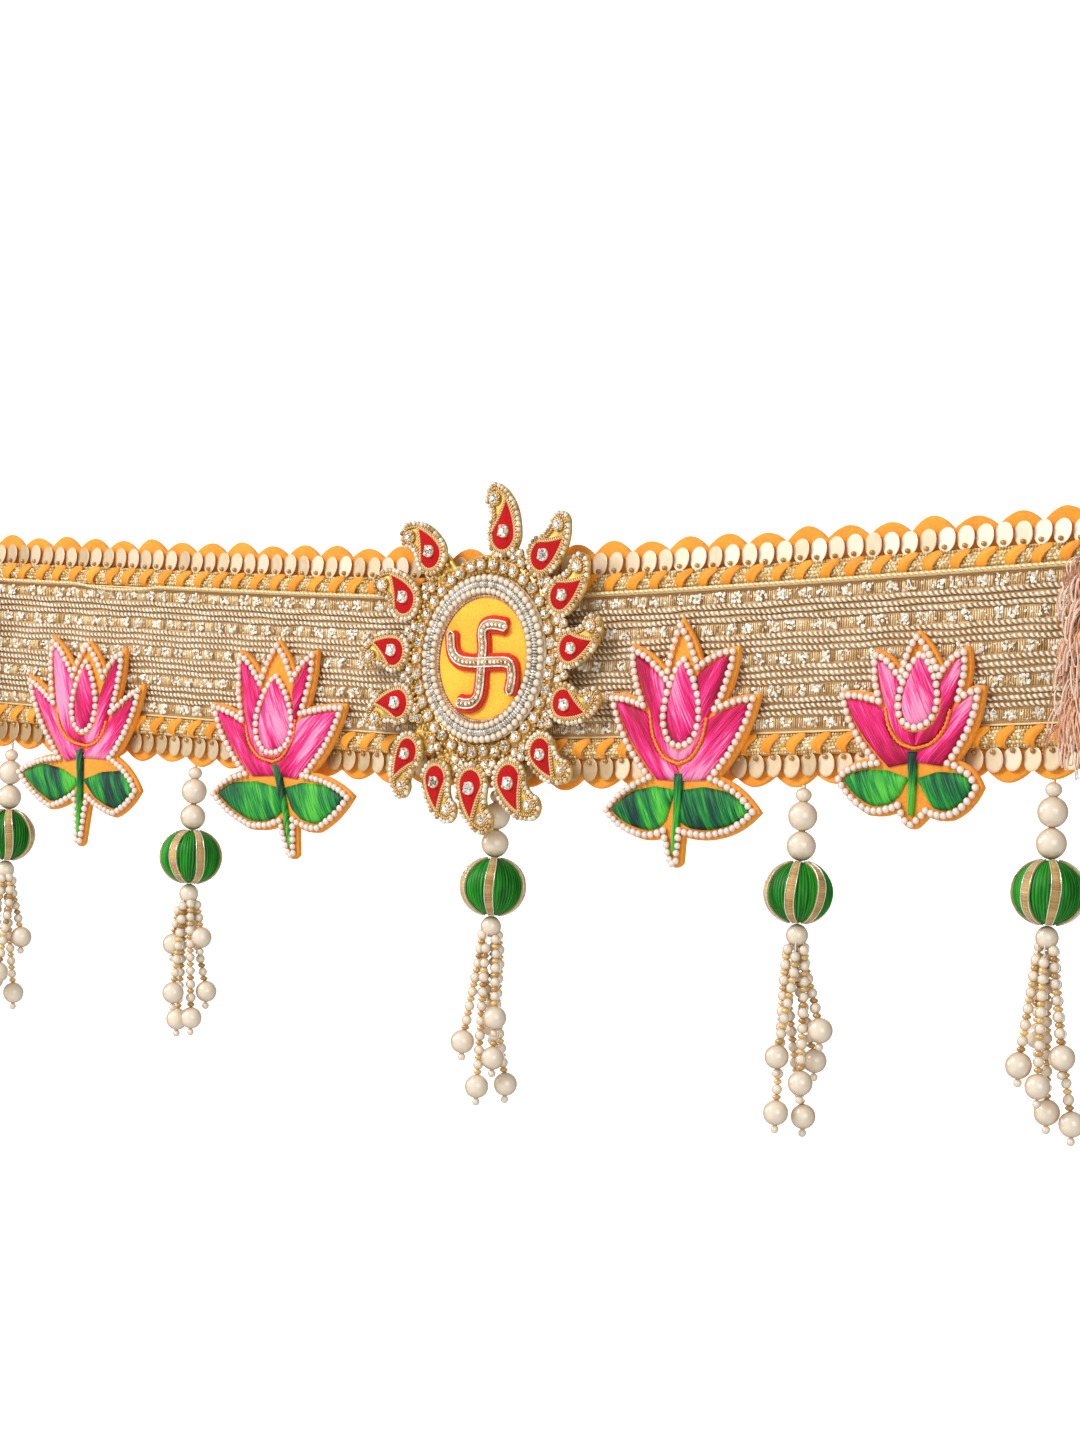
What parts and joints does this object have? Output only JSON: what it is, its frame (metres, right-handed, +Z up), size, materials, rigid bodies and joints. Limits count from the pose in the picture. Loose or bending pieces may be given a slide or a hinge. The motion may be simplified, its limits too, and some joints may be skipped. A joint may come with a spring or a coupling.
{
  "type": "toran door hanging",
  "caption": "Scalloped felt door hanging with gold lace, braid and sequins, a sunburst medallion, lotus patches, bead tassels and looped end fringes.",
  "frame": {"origin": "top edge of the band over the medallion, on the back face of the felt", "axes": "+X along the band to the viewer's right, +Y away from the viewer through the back face, +Z up"},
  "size_m": [0.5692, 0.0287, 0.2118],
  "materials": {
    "orange_felt": "matt pressed felt",
    "yellow_felt": "matt pressed felt",
    "red_felt": "matt pressed felt",
    "gold_lace": "metallic yarn, softly glittering",
    "gold_braid": "metallic braid, softly glittering",
    "sequins": "polished pale gold",
    "pearl": "pearlised",
    "pink_stitch": "silky satin stitch",
    "green_stitch": "silky satin stitch",
    "green_thread": "wound thread, slight sheen",
    "fringe_thread": "silky looped thread"
  },
  "bodies": {
    "root": {"felt": "orange_felt", "lace_panel": "gold_lace", "braid_top": "gold_braid", "braid_bottom": "gold_braid", "sequins_top": "sequins", "sequins_bottom": "sequins", "edge_cord": "gold_lace", "lotus_1_felt": "orange_felt", "lotus_1_bloom": "pink_stitch", "lotus_1_leaves": "green_stitch", "lotus_2_felt": "orange_felt", "lotus_2_bloom": "pink_stitch", "lotus_2_leaves": "green_stitch", "lotus_3_felt": "orange_felt", "lotus_3_bloom": "pink_stitch", "lotus_3_leaves": "green_stitch", "lotus_4_felt": "orange_felt", "lotus_4_bloom": "pink_stitch", "lotus_4_leaves": "green_stitch", "medallion_base": "gold_braid", "stone_ring": "gold_braid", "pearl_ring": "pearl", "medallion_disc": "yellow_felt", "symbol_felt": "red_felt", "symbol_chain": "sequins", "paisley_01": "red_felt", "paisley_02": "red_felt", "paisley_03": "red_felt", "paisley_04": "red_felt", "paisley_05": "red_felt", "paisley_06": "red_felt", "paisley_07": "red_felt", "paisley_08": "red_felt", "paisley_09": "red_felt", "paisley_10": "red_felt", "paisley_11": "red_felt", "paisley_12": "red_felt", "paisley_13": "red_felt", "paisley_14": "red_felt", "tassel_1_pearls": "pearl", "tassel_1_ball": "green_thread", "tassel_1_strands": "pearl", "tassel_2_pearls": "pearl", "tassel_2_ball": "green_thread", "tassel_2_strands": "pearl", "tassel_3_pearls": "pearl", "tassel_3_ball": "green_thread", "tassel_3_strands": "pearl", "tassel_4_pearls": "pearl", "tassel_4_ball": "green_thread", "tassel_4_strands": "pearl", "tassel_5_pearls": "pearl", "tassel_5_ball": "green_thread", "tassel_5_strands": "pearl", "fringe_left": "fringe_thread", "fringe_right": "fringe_thread"}
  },
  "joints": []
}
